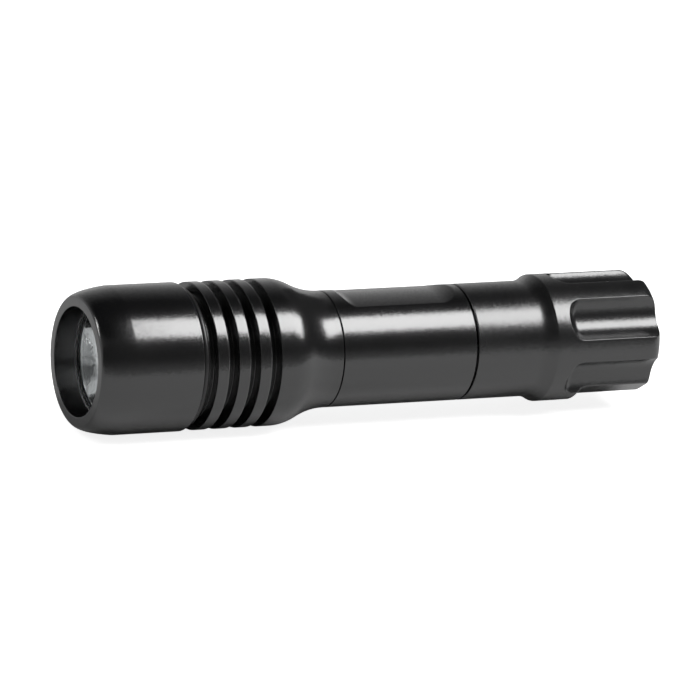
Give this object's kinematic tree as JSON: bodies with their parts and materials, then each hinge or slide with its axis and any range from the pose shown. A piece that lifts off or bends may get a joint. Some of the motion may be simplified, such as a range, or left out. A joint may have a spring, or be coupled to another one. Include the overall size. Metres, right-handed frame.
{
  "type": "dive torch",
  "caption": "Handheld aluminium dive torch with a screw-on bezel, a ringed head, a flatted battery tube and a fluted twist-switch tail cap.",
  "frame": {"origin": "centre of the flat tail face, on the torch's axis", "axes": "+X along the torch's axis out of the tail, the lamp faces -X; +Z out of the milled flat of the tube"},
  "size_m": [0.1379, 0.0332, 0.0332],
  "materials": {
    "black_anodised": "bead-blasted, black anodised",
    "seal_rubber": "smooth, lightly greased",
    "lens_glass": "polished",
    "plated_reflector": "orange-peel textured, vacuum plated",
    "white_plastic": "moulded",
    "emitter": "clear dome over phosphor",
    "led_board": "white solder mask",
    "red_insulation": "silicone",
    "black_insulation": "silicone",
    "brass": "turned",
    "driver_board": "green solder mask",
    "ferrite": "matt",
    "spring_steel": "plated",
    "cell_wrap": "shrink wrap on a can"
  },
  "bodies": {
    "barrel": {"head_housing": "black_anodised", "bezel_o_ring": "seal_rubber", "reflector": "plated_reflector", "led_gasket": "white_plastic", "led_emitter": "emitter", "led_board": "led_board", "lead_positive": "red_insulation", "lead_negative": "black_insulation", "led_carrier": "brass", "driver_board": "driver_board", "driver_inductor": "ferrite", "driver_ring": "brass", "driver_spring": "spring_steel", "head_o_ring_front": "seal_rubber", "head_o_ring_rear": "seal_rubber", "body_tube": "black_anodised", "cell_can": "cell_wrap", "cell_button": "spring_steel", "cell_insulator": "white_plastic", "tail_o_ring_front": "seal_rubber", "tail_o_ring_rear": "seal_rubber"},
    "lens_stack": {"front_lens": "lens_glass", "lens_o_ring": "seal_rubber"},
    "bezel_ring": {"bezel": "black_anodised"},
    "tail_contact": {"tail_spring": "spring_steel", "spring_plate": "brass"},
    "twist_cap": {"tail_cap": "black_anodised", "plate_ring": "brass"}
  },
  "joints": [
    {"name": "tail_cap_travel", "type": "slide", "parent": "barrel", "child": "tail_contact", "axis": [1, 0, 0], "range_m": [-0.00051, 0.00505], "deforming": ["tail_spring"]},
    {"name": "tail_cap_twist", "type": "hinge", "parent": "tail_contact", "child": "twist_cap", "pos_m": [-0.03, 0, 0], "axis": [1, 0, 0], "range_deg": [-180, 1800]},
    {"name": "bezel_travel", "type": "slide", "parent": "barrel", "child": "lens_stack", "axis": [-1, 0, 0], "range_m": [0, 0.00505]},
    {"name": "bezel_twist", "type": "hinge", "parent": "lens_stack", "child": "bezel_ring", "pos_m": [-0.12, 0, 0], "axis": [-1, 0, 0], "range_deg": [0, 1800]}
  ],
  "couplings": [
    {"joint": "tail_cap_travel", "follows": "tail_cap_twist", "m_per_rad": 0.00015915},
    {"joint": "bezel_travel", "follows": "bezel_twist", "m_per_rad": 0.00015915}
  ]
}
